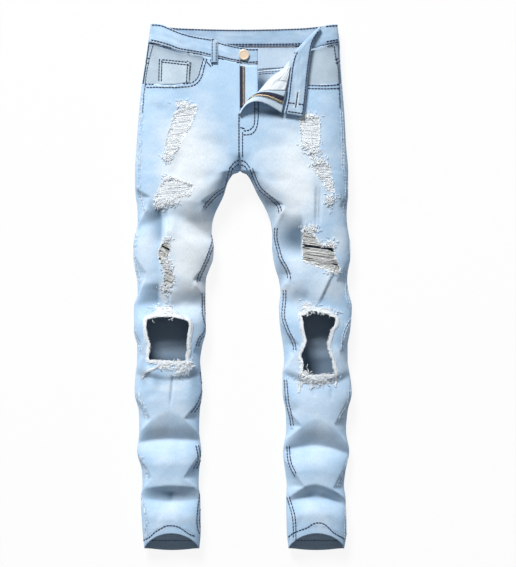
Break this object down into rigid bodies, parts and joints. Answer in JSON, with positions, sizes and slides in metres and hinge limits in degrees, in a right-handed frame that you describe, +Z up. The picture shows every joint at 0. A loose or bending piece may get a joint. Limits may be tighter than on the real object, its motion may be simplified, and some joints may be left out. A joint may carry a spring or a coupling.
{
  "type": "ripped jeans",
  "caption": "Slim ripped jeans laid flat, front up, fly open with its left side turned out, open knee holes and frayed rips.",
  "frame": {"origin": "middle of the laid jeans, on the surface they lie on", "axes": "+Y along the jeans towards the waistband, +X towards the wearer's left leg, +Z up out of the surface, through the front"},
  "size_m": [0.416, 1.0046, 0.0726],
  "materials": {
    "denim": "matte",
    "denim_inside": "matte",
    "pocketing": "matte",
    "zip_tape": "matte",
    "thread": "matte",
    "stitch": "matte",
    "brass": "satin",
    "cream_metal": "satin"
  },
  "bodies": {
    "root": {"back_left": "denim", "back_right": "denim", "yoke_left": "denim", "yoke_right": "denim", "front_left": "denim", "front_right": "denim", "waistband": "denim", "pocket_facing_left": "denim", "pocket_facing_right": "denim", "coin_pocket": "denim", "back_pocket_left": "denim", "back_pocket_right": "denim", "belt_loop_back": "denim", "belt_loop_side_left": "denim", "belt_loop_side_right": "denim", "belt_loop_front_left": "denim", "belt_loop_front_right": "denim", "fly_facing": "denim_inside", "fly_shield": "denim_inside", "pocket_bag": "pocketing", "zip_tape_left": "zip_tape", "zip_tape_right": "zip_tape", "zip_chain_left": "brass", "zip_chain_right": "brass", "zip_slider": "brass", "zip_pull": "brass", "button": "cream_metal"}
  },
  "joints": []
}
